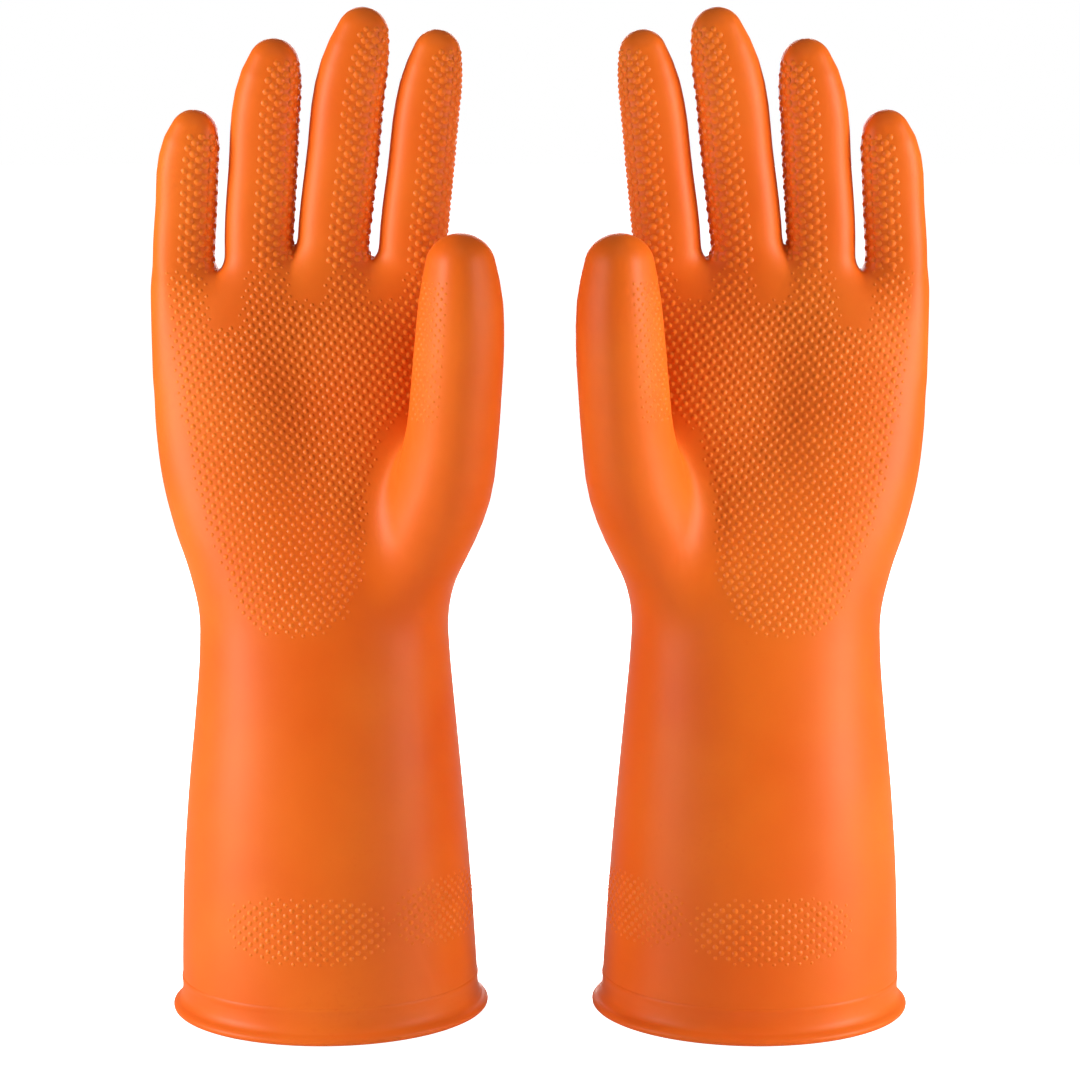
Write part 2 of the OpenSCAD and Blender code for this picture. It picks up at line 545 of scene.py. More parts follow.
@dataclass
class Net:
    """A net of quads over the glove's outer surface."""

    points: Array
    quads: Array
    pull: float = 0.55
    rim_band: float = 0.5

    def neighbours(self) -> tuple[Array, Array]:
        """Finds the points that share an edge.

        Returns:
            Both ends of every edge, once each way, as two lists of point numbers.
        """
        pairs = np.concatenate([self.quads[:, [i, (i + 1) % 4]] for i in range(4)])
        pairs = np.unique(np.sort(pairs, axis=1), axis=0)
        return np.concatenate([pairs[:, 0], pairs[:, 1]]), np.concatenate([pairs[:, 1], pairs[:, 0]])

    def relaxed(self, form: GloveForm, rounds: int) -> Net:
        """Evens out the quads while they stay on the surface.

        Args:
            form: the surface.
            rounds: how often to even them out.

        Returns:
            The evened net.
        """
        here, there = self.neighbours()
        count = np.bincount(here, minlength=len(self.points))[:, None]
        points = self.points
        rim = points[:, 2] < points[:, 2].min() + self.rim_band
        floor = points[rim, 2].mean()
        for _ in range(rounds):
            total = np.column_stack([np.bincount(here, points[there, a], len(points)) for a in range(3)])
            moved = points + self.pull * (total / count - points)
            moved[rim, 2] = floor
            points = form.settle(moved, 1)
        points = form.settle(points, 2)
        points[rim, 2] = floor
        return Net(points, self.quads)


# The sampling grid along X, Y and Z: where each spacing starts, and where the last one ends. It is finer
# where two fingers meet.
GRID_RUNS = (
    (((-62, 1.25), (-36.5, 0.8), (-31, 1.2), (-13.5, 0.7), (-7, 1.2), (11, 0.7), (18, 1.2)), 62),
    (((-56, 1.3), (-6, 1.15), (16, 1.3)), 52),
    (((2.4, 1.7), (170, 1.25), (224, 0.95), (262, 1.15)), 316),
)
FIELD_BLOCKS = 24


def spread(starts: tuple[Pair, ...], end: float) -> Array:
    """Spaces out the grid's planes along one direction.

    Args:
        starts: each run's first position and spacing.
        end: the last run's end.

    Returns:
        The planes' positions.
    """
    runs = []
    for (start, spacing), stop in zip(starts, [s[0] for s in starts[1:]] + [end]):
        runs.append(np.linspace(start, stop, max(2, round((stop - start) / spacing) + 1))[:-1])
    return np.concatenate([*runs, [end]])


def make_net(form: GloveForm) -> Net:
    """Lays a net of quads over the zero level of the glove's field.

    Args:
        form: the glove's field.

    Returns:
        The net, open at the rim, with its quads facing outwards.
    """
    lines = [spread(*run) for run in GRID_RUNS]
    shape = tuple(len(line) for line in lines)
    corners = np.stack(np.meshgrid(*lines, indexing="ij"), axis=-1).reshape(-1, 3)
    level = np.concatenate([form.distance(block) for block in np.array_split(corners, FIELD_BLOCKS)])
    level = level.reshape(shape)
    inside = level < 0
    cells = tuple(n - 1 for n in shape)
    count = sum(inside[a : a + cells[0], b : b + cells[1], c : c + cells[2]].astype(np.int8)
                for a in (0, 1) for b in (0, 1) for c in (0, 1))
    found = np.argwhere((count > 0) & (count < 8))
    number = np.full(cells, -1)
    number[tuple(found.T)] = np.arange(len(found))
    total, crossings = np.zeros((len(found), 3)), np.zeros(len(found))
    for axis in range(3):
        others = [a for a in range(3) if a != axis]
        for b in (0, 1):
            for c in (0, 1):
                start = found.copy()
                start[:, others[0]] += b
                start[:, others[1]] += c
                end = start.copy()
                end[:, axis] += 1
                one, two = level[tuple(start.T)], level[tuple(end.T)]
                cut = (one < 0) != (two < 0)
                share = np.where(cut, one / np.where(cut, one - two, 1), 0)[:, None]
                first = np.column_stack([lines[a][start[:, a]] for a in range(3)])
                second = np.column_stack([lines[a][end[:, a]] for a in range(3)])
                total[cut] += (first + share * (second - first))[cut]
                crossings += cut
    quads = []
    for axis in range(3):
        one, two = (axis + 1) % 3, (axis + 2) % 3
        keep = [slice(1, -1)] * 3
        keep[axis] = slice(0, -1)
        ahead = list(keep)
        ahead[axis] = slice(1, None)
        here, there = inside[tuple(keep)], inside[tuple(ahead)]
        at = np.argwhere(here != there)
        at[:, one] += 1
        at[:, two] += 1
        ring = []
        for b, c in ((-1, -1), (0, -1), (0, 0), (-1, 0)):
            cell = at.copy()
            cell[:, one] += b
            cell[:, two] += c
            ring.append(number[tuple(cell.T)])
        ring = np.column_stack(ring)
        outwards = inside[tuple(at.T)]
        quads.append(np.where(outwards[:, None], ring, ring[:, ::-1]))
    return Net(total / crossings[:, None], np.concatenate(quads))


# ---- how the shell is divided ----


@dataclass(frozen=True)
class Section:
    """One stretch of the shell, which spans the joint between two CAD bodies."""

    name: str
    lower: str
    upper: str
    limb: int
    foot: Array
    heading: Array
    start: Array
    end: Array
    stands_for: tuple[str, ...]

    def reaches(self, points: Array) -> Array:
        """Tells which points lie past the stretch's lower end."""
        return (points - self.foot) @ self.heading > 0


@dataclass(frozen=True)
class Division:
    """Divides a glove's shell midway between the joints."""

    form: GloveForm
    bend_gap: float = 1.5
    first_gap: float = 1.0
    wrist_reach: float = 17
    thumb_heading: Triple = (0.1, -0.3, 0.95)
    thumb_start: float = 180.6

    def chain(
        self, limb: int, name: str, joints: tuple[str, ...], heading: Array, foot: Array
    ) -> list[Section]:
        """Divides one finger, or the thumb.

        Args:
            limb: the limb's number.
            name: its name.
            joints: names of its joints, from the hand to the tip.
            heading: the way that it runs.
            foot: where its own skin starts.

        Returns:
            One section per joint, from the hand to the tip.
        """
        places = [self.form.placing.joint(f"{name}_{joint}") for joint in joints]
        parts = ["root", "tip"] if len(joints) == 2 else ["root", "mid", "tip"]
        cuts = [foot, *((a + b) / 2 for a, b in zip(places, places[1:]))]
        sections = []
        for k, (place, part) in enumerate(zip(places, parts)):
            low = (cuts[k] - place) @ heading + (self.bend_gap if k else self.first_gap)
            last = k == len(places) - 1
            high = -low if last else (cuts[k + 1] - place) @ heading - self.bend_gap
            sections.append(
                Section(
                    name=f"{name}_{part}",
                    lower="hand" if k == 0 else f"{name}_{parts[k - 1]}",
                    upper=f"{name}_{part}",
                    limb=limb,
                    foot=cuts[k],
                    heading=heading,
                    start=place + heading * low,
                    end=place + heading * high,
                    stands_for=(f"{name}_{part}",),
                )
            )
        return sections

    def sections(self) -> list[Section]:
        """Divides the whole shell.

        Returns:
            The hand's section, then those of the four fingers and the thumb.
        """
        wrist = self.form.placing.joint("wrist")
        up = np.array([0, 0, 1.0])
        hand = Section("hand", "sleeve", "hand", 0, wrist, up, wrist - up * self.wrist_reach,
                       wrist + up * self.wrist_reach, ("cuff", "palm"))
        found = [hand]
        for limb, (form, tube) in enumerate(zip(FINGERS, self.form.fingers()), 1):
            heading = unit(tube.points[3] - tube.points[1])
            foot = tube.points[1] + heading * (form.web - tube.points[1][2]) / heading[2]
            found += self.chain(limb, form.name, FINGER_JOINTS, heading, foot)
        heading = unit(np.array(self.thumb_heading))
        line, _ = self.form.thumb().line()
        foot = line[np.argmin(np.abs(line[:, 2] - self.thumb_start))]
        foot = foot + heading * (self.thumb_start - foot[2]) / heading[2]
        return found + self.chain(len(FINGERS) + 1, "thumb", ("knuckle", "joint"), heading, foot)

    def section_of(self, points: Array) -> Array:
        """Finds the section that each point belongs to.

        Args:
            points: one row per point, near the surface.

        Returns:
            The number of each point's section.
        """
        tubes = [*self.form.fingers(), self.form.thumb()]
        gaps = [self.form.sleeve.distance(points), *(tube.distance(points) for tube in tubes)]
        nearest = np.argmin(gaps, axis=0)
        label = np.zeros(len(points), int)
        for number, section in enumerate(self.sections()):
            if section.limb:
                label[(nearest == section.limb) & section.reaches(points)] = number
        return label


@dataclass
class Patch:
    """One section's part of the film, with its outer and inner faces."""

    points: Array
    normals: Array
    faces: Array
    surfaces: Array

    @staticmethod
    def cut(net: Net, normals: Array, keep: Array, wall: float) -> Patch:
        """Cuts some quads out of the net and gives them the film's thickness.

        Args:
            net: the whole outer net.
            normals: the outward direction at each of its points.
            keep: which quads to take.
            wall: the film's thickness.

        Returns:
            The closed patch.
        """
        quads = net.quads[keep]
        used, local = np.unique(quads, return_inverse=True)
        quads = local.reshape(quads.shape)
        outer, facing = net.points[used], normals[used]
        count = len(used)
        steps = np.concatenate([quads[:, [i, (i + 1) % 4]] for i in range(4)])
        there = set(map(tuple, steps[:, ::-1].tolist()))
        edge = np.array([step for step in steps.tolist() if tuple(step) not in there], int).reshape(-1, 2)
        rim = np.column_stack([edge[:, 1], edge[:, 0], edge[:, 0] + count, edge[:, 1] + count])
        faces = np.concatenate([quads, rim, quads[:, ::-1] + count])
        kinds = [Surface.OUTSIDE] * (len(quads) + len(rim)) + [Surface.INSIDE] * len(quads)
        return Patch(
            np.concatenate([outer, outer - wall * facing]),
            np.concatenate([facing, -facing]),
            faces,
            np.array([kind.value for kind in kinds]),
        )


# ---- finishes ----


def linear(red: int, green: int, blue: int) -> tuple[float, float, float, float]:
    """Turns a screen colour into the shader's own terms.

    Args:
        red: 0 to 255.
        green: 0 to 255.
        blue: 0 to 255.

    Returns:
        The colour, with an alpha of 1.
    """
    parts = [c / 255 for c in (red, green, blue)]
    return (*(c / 12.92 if c <= 0.04045 else ((c + 0.055) / 1.055) ** 2.4 for c in parts), 1.0)


def film_group() -> bpy.types.ShaderNodeTree:
    """Builds the shader group of dipped rubber: drifting colour, uneven gloss and a fine skin grain.

    Returns:
        The group, which every rubber finish shares.
    """
    found = bpy.data.node_groups.get("dipped_film")
    if found:
        return found
    inputs = (
        ("Colour", "NodeSocketColor", linear(232, 105, 26)),
        ("Thick Colour", "NodeSocketColor", linear(214, 84, 14)),
        ("Cloud Scale", "NodeSocketFloat", 22.0),
        ("Grain Scale", "NodeSocketFloat", 2600.0),
        ("Speck Scale", "NodeSocketFloat", 700.0),
        ("Dull", "NodeSocketFloat", 0.5),
        ("Shine", "NodeSocketFloat", 0.4),
    )
    outputs = (("Colour", "NodeSocketColor"), ("Roughness", "NodeSocketFloat"), ("Height", "NodeSocketFloat"))
    tree, entry, leave = open_group("dipped_film", "ShaderNodeTree", inputs, outputs)
    place = tree.nodes.new("ShaderNodeTexCoord").outputs["Object"]
    noises = {}
    for name, detail in (("Cloud Scale", 2.0), ("Grain Scale", 3.0), ("Speck Scale", 2.0)):
        fed = {"Detail": detail, "Vector": place, "Scale": entry.outputs[name]}
        noises[name] = add_node(tree, "ShaderNodeTexNoise", fed).outputs["Fac"]
    fed = {"Value": noises["Cloud Scale"], "From Min": 0.35, "From Max": 0.7}
    cloud = add_node(tree, "ShaderNodeMapRange", fed).outputs["Result"]
    fed = {"Value": noises["Speck Scale"], "From Min": 0.55, "From Max": 0.75, "To Max": 0.35}
    speck = add_node(tree, "ShaderNodeMapRange", fed).outputs["Result"]
    both = add_node(tree, "ShaderNodeMath", {0: cloud, 1: speck}, operation="MAXIMUM")
    fed = {"Factor": both.outputs["Value"], "A": entry.outputs["Colour"], "B": entry.outputs["Thick Colour"]}
    colour = add_node(tree, "ShaderNodeMix", fed, data_type="RGBA").outputs["Result"]
    fed = {"Value": noises["Cloud Scale"], "To Min": entry.outputs["Dull"], "To Max": entry.outputs["Shine"]}
    gloss = add_node(tree, "ShaderNodeMapRange", fed).outputs["Result"]
    feed(tree, leave, {"Colour": colour, "Roughness": gloss, "Height": noises["Grain Scale"]})
    return tree


@dataclass(frozen=True)
class RubberFinish:
    """A finish of dipped latex rubber."""

    name: str
    colour: tuple[float, float, float, float]
    thick_colour: tuple[float, float, float, float]
    dull: float
    shine: float
    glow: float
    sheen: float
    grain_depth: float
    glow_depth: float = 0.0025

    def build(self) -> bpy.types.Material:
        """Makes the material.

        Returns:
            The material, whose group sets colour, roughness and grain.
        """
        material = bpy.data.materials.new(self.name)
        material.use_nodes = True
        tree = material.node_tree
        fed = {
            "Colour": self.colour, "Thick Colour": self.thick_colour, "Dull": self.dull, "Shine": self.shine,
        }
        film = add_node(tree, "ShaderNodeGroup", fed, node_tree=film_group())
        fed = {"Strength": 1.0, "Distance": self.grain_depth * MM, "Height": film.outputs["Height"]}
        bump = add_node(tree, "ShaderNodeBump", fed)
        fed = {
            "Base Color": film.outputs["Colour"],
            "Roughness": film.outputs["Roughness"],
            "Normal": bump.outputs["Normal"],
            "IOR": 1.5,
            "Specular IOR Level": 0.25,
            "Subsurface Weight": self.glow,
            "Subsurface Radius": (1.0, 0.35, 0.1),
            "Subsurface Scale": self.glow_depth,
            "Sheen Weight": self.sheen,
            "Sheen Roughness": 0.5,
            "Sheen Tint": linear(255, 196, 160),
        }
        feed(tree, tree.nodes["Principled BSDF"], fed)
        return material


OUTSIDE = RubberFinish(
    "latex_outside", linear(240, 112, 22), linear(232, 98, 14),
    dull=0.52, shine=0.42, glow=0.12, sheen=0.06, grain_depth=0.02,
)
INSIDE = RubberFinish(
    "latex_inside", linear(240, 134, 66), linear(232, 118, 52),
    dull=0.75, shine=0.65, glow=0.08, sheen=0.15, grain_depth=0.03,
)
# The dots' finish is the film's latex painted lighter and yellower: a painted highlight for the light caught
# on the raised dots.
GRIP_PAINTED_HIGHLIGHT = RubberFinish(
    "latex_grip", linear(248, 124, 32), linear(242, 110, 22),
    dull=0.44, shine=0.34, glow=0.12, sheen=0.05, grain_depth=0.012,
)
BEAD = RubberFinish(
    "latex_bead", linear(238, 112, 26), linear(230, 96, 18),
    dull=0.5, shine=0.42, glow=0.12, sheen=0.06, grain_depth=0.02,
)


# ---- grip dots ----


@dataclass(frozen=True)
class Spots:
    """Where raised dots stand."""

    points: Array
    sizes: Array


def inside_outline(places: Array, outline: Array) -> tuple[Array, Array]:
    """Tests places against a closed outline.

    Args:
        places: one row per place, in two directions.
        outline: the outline's corners in order.

    Returns:
        Whether each place is inside, and how far it is from the outline.
    """
    inside = np.zeros(len(places), bool)
    nearest = np.full(len(places), FAR)
    for a, b in zip(outline, np.roll(outline, -1, axis=0)):
        along = b - a
        t = np.clip(((places - a) @ along) / (along @ along), 0, 1)
        nearest = np.minimum(nearest, np.linalg.norm(places - a - t[:, None] * along, axis=1))
        if a[1] != b[1]:
            spans = (places[:, 1] < a[1]) != (places[:, 1] < b[1])
            cross = a[0] + (places[:, 1] - a[1]) / (b[1] - a[1]) * (b[0] - a[0])
            inside ^= spans & (places[:, 0] < cross)
    return inside, nearest


def staggered(low: tuple[float, ...], high: tuple[float, ...], pitch: Pair) -> Array:
    """Lays out a staggered lattice of dots.

    Args:
        low: the lowest place in each direction.
        high: the highest place in each direction.
        pitch: the spacing in each direction, with one more dot in the middle of each four.

    Returns:
        One row per dot.
    """
    rows = np.arange(math.ceil(low[1] * 2 / pitch[1]), math.floor(high[1] * 2 / pitch[1]) + 1)
    places = []
    for row in rows:
        shift = pitch[0] / 2 * (row % 2)
        first, last = math.ceil((low[0] - shift) / pitch[0]), math.floor((high[0] - shift) / pitch[0])
        across = np.arange(first, last + 1)
        places += [(column * pitch[0] + shift, row * pitch[1] / 2) for column in across]
    return np.array(places)


@dataclass(frozen=True)
class GripPattern:
    """The patches of raised dots on the palm, the fingers, the thumb and the cuff."""

    form: GloveForm
    palm_pitch: Pair = (3.15, 3.45)
    palm_turn: float = 8
    palm_depths: tuple[float, float, int] = (-32, 6, 77)
    palm_outline: tuple[Pair, ...] = (
        (-24.5, 127), (-30.7, 142), (-37, 158), (-40.5, 173), (-43.5, 189), (-46.5, 208), (-47.8, 232),
        (-36.3, 232), (-33.5, 215), (-25.5, 216), (-23.5, 232), (-11, 232), (-9, 223), (-1, 222.5),
        (1, 232), (12.5, 232), (15, 222.5), (22, 223), (25, 232), (36.5, 232), (37.5, 212), (34, 196),
        (27.5, 190), (18, 183), (14, 166), (12.5, 139), (7, 128), (-1, 122.5), (-17, 122.5),
    )
    finger_pitch: Pair = (4.3, 3.35)
    finger_arc: Pair = (-8, 90)
    finger_base: float = 232
    finger_cap: float = 6.8
    finger_dot: float = 1.22
    thumb_pitch: Pair = (3.0, 3.0)
    thumb_arc: Pair = (-80, -14)
    thumb_span: Pair = (189, 230)
    thumb_dot: float = 0.62
    thumb_room: float = 1.5
    limb_edge: float = 1
    cuff_pitch: Pair = (3.72, 3.25)
    cuff_patches: tuple[tuple[float, float, float, float], ...] = (
        (-5, 34.5, 25, 10.2), (60, 37, 22.5, 10.2), (180, 36, 28, 10.2),
    )
    cuff_roundness: float = 3
    cuff_fade: Triple = (1.25, 0.7, 0.95)
    fade: float = 3.2

    def sized(self, edge: Array) -> Array:
        """Returns how large dots are, which shrink towards a patch's edge."""
        return np.clip(0.5 + 0.5 * edge / self.fade, 0, 1)

    def palm(self) -> Spots:
        """Places the palm's dots, straight back onto the palm from its front.

        Returns:
            The dots.
        """
        outline = np.array(self.palm_outline)
        reach = float(np.linalg.norm(np.ptp(outline, axis=0)) / 2)
        turn = math.radians(self.palm_turn)
        places = staggered((-reach, -reach), (reach, reach), self.palm_pitch)
        places = places @ [[math.cos(turn), math.sin(turn)], [-math.sin(turn), math.cos(turn)]]
        places = places + (outline.min(0) + outline.max(0)) / 2
        inside, edge = inside_outline(places, outline)
        places, edge = places[inside], edge[inside]
        depths = np.linspace(*self.palm_depths)
        x, y = np.meshgrid(places[:, 0], depths, indexing="ij")
        z = np.repeat(places[:, 1:], len(depths), axis=1)
        ray = np.column_stack([x.ravel(), y.ravel(), z.ravel()])
        level = self.form.sleeve.distance(ray)
        for tube in self.form.fingers():
            level = np.minimum(level, tube.distance(ray))
        entry = np.argmax(level.reshape(x.shape) < 0, axis=1)
        points = np.column_stack([places[:, 0], depths[entry], places[:, 1]])
        open_air = self.form.thumb().distance(points) > self.thumb_room
        return Spots(points[open_air], self.sized(edge[open_air]))

    def limb(self, tube: Tube, pitch: Pair, arc: Pair, span: Pair, dot: float) -> Spots:
        """Places dots along a finger or the thumb.

        Args:
            tube: the limb.
            pitch: the spacing around and along it.
            arc: the first and last angle round it, from its front towards the thumb's side.
            span: the lowest and highest place.
            dot: how large its dots are, as a share of the full size.

        Returns:
            The dots.
        """
        line, radii = tube.line()
        radius = float(np.interp(sum(span) / 2, line[:, 2], radii))
        low, high = (math.radians(a) * radius for a in arc)
        places = staggered((low, span[0]), (high, span[1]), pitch)
        centre = np.column_stack([np.interp(places[:, 1], line[:, 2], c) for c in (line[:, 0], line[:, 1])])
        size = np.interp(places[:, 1], line[:, 2], radii)
        turn = places[:, 0] / radius
        x = centre[:, 0] + size * np.sin(turn)
        y = centre[:, 1] - size * tube.depth_share * np.cos(turn)
        edge = np.minimum.reduce([places[:, 0] - low, high - places[:, 0], span[1] - places[:, 1]])
        return Spots(np.column_stack([x, y, places[:, 1]]), self.sized(edge + self.limb_edge) * dot)

    def cuff(self) -> Spots:
        """Places the patches round the cuff, each at an angle and a height with its half sizes.

        Returns:
            The dots.
        """
        points, sizes = [], []
        power, (start, loss, most) = self.cuff_roundness, self.cuff_fade
        for angle, height, half_width, half_height in self.cuff_patches:
            half = (half_width, half_height)
            places = staggered((-half_width, -half_height), half, self.cuff_pitch)
            across, up = np.abs(places / half).T
            round_off = across**power + up**power
            places, round_off = places[round_off < 1], round_off[round_off < 1]
            z = height + places[:, 1]
            left, right, middle, depth, _ = self.form.sleeve.profile(z)
            turn = math.radians(angle) + places[:, 0] / ((right - left + 2 * depth) / 4)
            x = (left + right) / 2 + (right - left) / 2 * np.sin(turn)
            points.append(np.column_stack([x, middle - depth * np.cos(turn), z]))
            sizes.append(np.clip(start - loss * round_off, 0, most))
        return Spots(np.concatenate(points), np.concatenate(sizes))

    def spots(self) -> Spots:
        """Places every dot of a glove.

        Returns:
            The dots of the palm, the fingers, the thumb and the cuff, on the glove's surface.
        """
        groups = [self.palm()]
        for tube in self.form.fingers():
            span = (self.finger_base, tube.points[-1][2] + tube.radii[-1] - self.finger_cap)
            groups.append(self.limb(tube, self.finger_pitch, self.finger_arc, span, self.finger_dot))
        thumb = self.form.thumb()
        groups.append(self.limb(thumb, self.thumb_pitch, self.thumb_arc, self.thumb_span, self.thumb_dot))
        groups.append(self.cuff())
        points = self.form.settle(np.concatenate([g.points for g in groups]), 3)
        return Spots(points, np.concatenate([g.sizes for g in groups]))


@dataclass(frozen=True)
class DotShape:
    """One raised dot: a soft mound with its edge below the film's surface."""

    radius: float = 1.16
    height: float = 0.38
    sink: float = 0.12
    steepness: float = 1.5
    size_spread: float = 0.05
    sides: int = 8
    rings: int = 4
    seed: int = 7
    underside: float = -0.5

    def tree(self) -> bpy.types.GeometryNodeTree:
        """Builds the node tree that stands a dot on every point of a mesh.

        Returns:
            The tree.
        """
        found = bpy.data.node_groups.get("grip_dots")
        if found:
            return found
        numbers = ("Radius", "Height", "Sink", "Steepness", "Size Spread")
        inputs = (
            ("Geometry", "NodeSocketGeometry", None),
            *((name, "NodeSocketFloat", None) for name in numbers),
            *((name, "NodeSocketInt", None) for name in ("Sides", "Rings", "Seed")),
            ("Finish", "NodeSocketMaterial", None),
        )
        outputs = (("Geometry", "NodeSocketGeometry"),)
        tree, entry, leave = open_group("grip_dots", "GeometryNodeTree", inputs, outputs)
        given = entry.outputs

        def sum_of(operation: str, *values: bpy.types.NodeSocket | float) -> bpy.types.NodeSocket:
            """Adds a Math node over sockets and plain numbers, and returns its result."""
            node = add_node(tree, "ShaderNodeMath", dict(enumerate(values)), operation=operation)
            return node.outputs["Value"]

        fed = {
            "Radius Top": 0.0, "Depth": 1.0, "Vertices": given["Sides"], "Side Segments": given["Rings"],
            "Radius Bottom": given["Radius"],
        }
        cone = add_node(tree, "GeometryNodeMeshCone", fed)
        position = tree.nodes.new("GeometryNodeInputPosition").outputs["Position"]
        split = add_node(tree, "ShaderNodeSeparateXYZ", {"Vector": position}).outputs
        squares = [sum_of("MULTIPLY", socket, socket) for socket in (split["X"], split["Y"], given["Radius"])]
        share = sum_of("DIVIDE", sum_of("ADD", *squares[:2]), squares[2])
        fall = sum_of("POWER", sum_of("MAXIMUM", sum_of("SUBTRACT", 1.0, share), 0.0), given["Steepness"])
        whole = sum_of("ADD", given["Height"], given["Sink"])
        rise = sum_of("SUBTRACT", sum_of("MULTIPLY", fall, whole), given["Sink"])
        place = add_node(tree, "ShaderNodeCombineXYZ", {"X": split["X"], "Y": split["Y"], "Z": rise})
        fed = {"Geometry": cone.outputs["Mesh"], "Position": place.outputs["Vector"]}
        mound = add_node(tree, "GeometryNodeSetPosition", fed)
        normal = tree.nodes.new("GeometryNodeInputNormal").outputs["Normal"]
        upward = add_node(tree, "ShaderNodeSeparateXYZ", {"Vector": normal}).outputs["Z"]
        above = sum_of("GREATER_THAN", upward, self.underside)
        fed = {"Geometry": mound.outputs["Geometry"], "Selection": above}
        smooth = add_node(tree, "GeometryNodeSetShadeSmooth", fed)
        carried = {}
        for name, data_type in (("facing", "FLOAT_VECTOR"), ("size", "FLOAT")):
            node = add_node(tree, "GeometryNodeInputNamedAttribute", {"Name": name}, data_type=data_type)
            carried[name] = node.outputs["Attribute"]
        turn = add_node(tree, "FunctionNodeAlignRotationToVector", {"Vector": carried["facing"]}, axis="Z")
        least, most = (sum_of(operation, 1.0, given["Size Spread"]) for operation in ("SUBTRACT", "ADD"))
        fed = {2: least, 3: most, "Seed": given["Seed"]}
        vary = add_node(tree, "FunctionNodeRandomValue", fed, data_type="FLOAT").outputs[1]
        fed = {
            "Points": given["Geometry"],
            "Instance": smooth.outputs["Geometry"],
            "Rotation": turn.outputs["Rotation"],
            "Scale": sum_of("MULTIPLY", carried["size"], vary),
        }
        stand = add_node(tree, "GeometryNodeInstanceOnPoints", fed)
        real = add_node(tree, "GeometryNodeRealizeInstances", {"Geometry": stand.outputs["Instances"]})
        fed = {"Geometry": real.outputs["Geometry"], "Material": given["Finish"]}
        dress = add_node(tree, "GeometryNodeSetMaterial", fed)
        feed(tree, leave, {"Geometry": dress.outputs["Geometry"]})
        return tree

    def stand_on(
        self, name: str, points: Array, facing: Array, sizes: Array, finish: bpy.types.Material
    ) -> bpy.types.Object:
        """Makes one piece of dots.

        Args:
            name: the piece's name.
            points: where the dots stand, in metres.
            facing: the film's outward directions there.
            sizes: each dot's size as a share of the full one.
            finish: the dots' material.

        Returns:
            The piece, with a plain mesh and no modifier.
        """
        seeds = bpy.data.meshes.new(f"{name}_places")
        seeds.from_pydata(points.tolist(), [], [])
        seeds.attributes.new("facing", "FLOAT_VECTOR", "POINT").data.foreach_set("vector", facing.ravel())
        seeds.attributes.new("size", "FLOAT", "POINT").data.foreach_set("value", sizes)
        piece = add_object(name, seeds)
        modifier = piece.modifiers.new("grip_dots", "NODES")
        modifier.node_group = self.tree()
        values = {
            "Radius": self.radius * MM, "Height": self.height * MM, "Sink": self.sink * MM,
            "Steepness": self.steepness, "Size Spread": self.size_spread, "Sides": self.sides,
            "Rings": self.rings, "Seed": self.seed, "Finish": finish,
        }
        for item in modifier.node_group.interface.items_tree:
            if item.in_out == "INPUT" and item.name in values:
                modifier[item.identifier] = values[item.name]
        bpy.context.view_layer.update()
        made = piece.evaluated_get(bpy.context.evaluated_depsgraph_get())
        mesh = bpy.data.meshes.new_from_object(made)
        mesh.name = name
        piece.modifiers.clear()
        piece.data = mesh
        bpy.data.meshes.remove(seeds)
        return piece


# ---- the rolled rim ----


@dataclass(frozen=True)
class RolledRim:
    """The rolled edge of the film, which flares out of the sleeve into a round lip.

    The section's points are distances out of the sleeve's surface and heights.
    """

    section: tuple[Pair, ...] = (
        (-0.45, 11.6), (0.01, 11.2), (0.03, 8.5), (0.08, 6.4), (0.35, 4.8), (1.15, 3.5), (2.2, 2.7),
        (2.9, 1.8), (2.6, 0.7), (1.4, 0.1), (-0.1, 0.05), (-1.3, 0.6), (-1.8, 1.8), (-1.6, 3.3),
        (-1.15, 5.1), (-0.94, 8.0), (-0.9, 10.8),
    )
    steps_round: int = 200
    steps_across: int = 64

    def build(self, form: GloveForm) -> tuple[Array, Array]:
        """Sweeps the section round the rim.

        Args:
            form: the glove that the rim closes.

        Returns:
            The points and the quads of a closed ring.
        """
        shape = np.array([*self.section[-2:], *self.section, *self.section[:3]])
        spacing = np.linalg.norm(np.diff(shape, axis=0), axis=1)
        stations = np.concatenate([[0], np.cumsum(spacing)])
        at = np.linspace(stations[2], stations[len(self.section) + 2], self.steps_across, endpoint=False)
        profile = smooth_curve(stations, shape, at)
        turn = np.linspace(0, 2 * math.pi, self.steps_round, endpoint=False)
        grid = []
        for out, height in profile:
            left, right, middle, depth, _ = form.sleeve.profile(height)
            half = (right - left) / 2
            facing = unit(np.column_stack([np.cos(turn) / half, np.sin(turn) / depth]))
            x = (left + right) / 2 + half * np.cos(turn) + out * facing[:, 0]
            y = middle + depth * np.sin(turn) + out * facing[:, 1]
            grid.append(np.column_stack([x, y, np.full(len(turn), height)]))
        points = np.concatenate(grid)
        i, j = np.meshgrid(np.arange(self.steps_across), np.arange(self.steps_round), indexing="ij")
        up, over = (i + 1) % self.steps_across, (j + 1) % self.steps_round
        corners = [(i, j), (up, j), (up, over), (i, over)]
        quads = np.stack([a * self.steps_round + b for a, b in corners], axis=-1).reshape(-1, 4)
        return points, quads


# ---- one glove ----


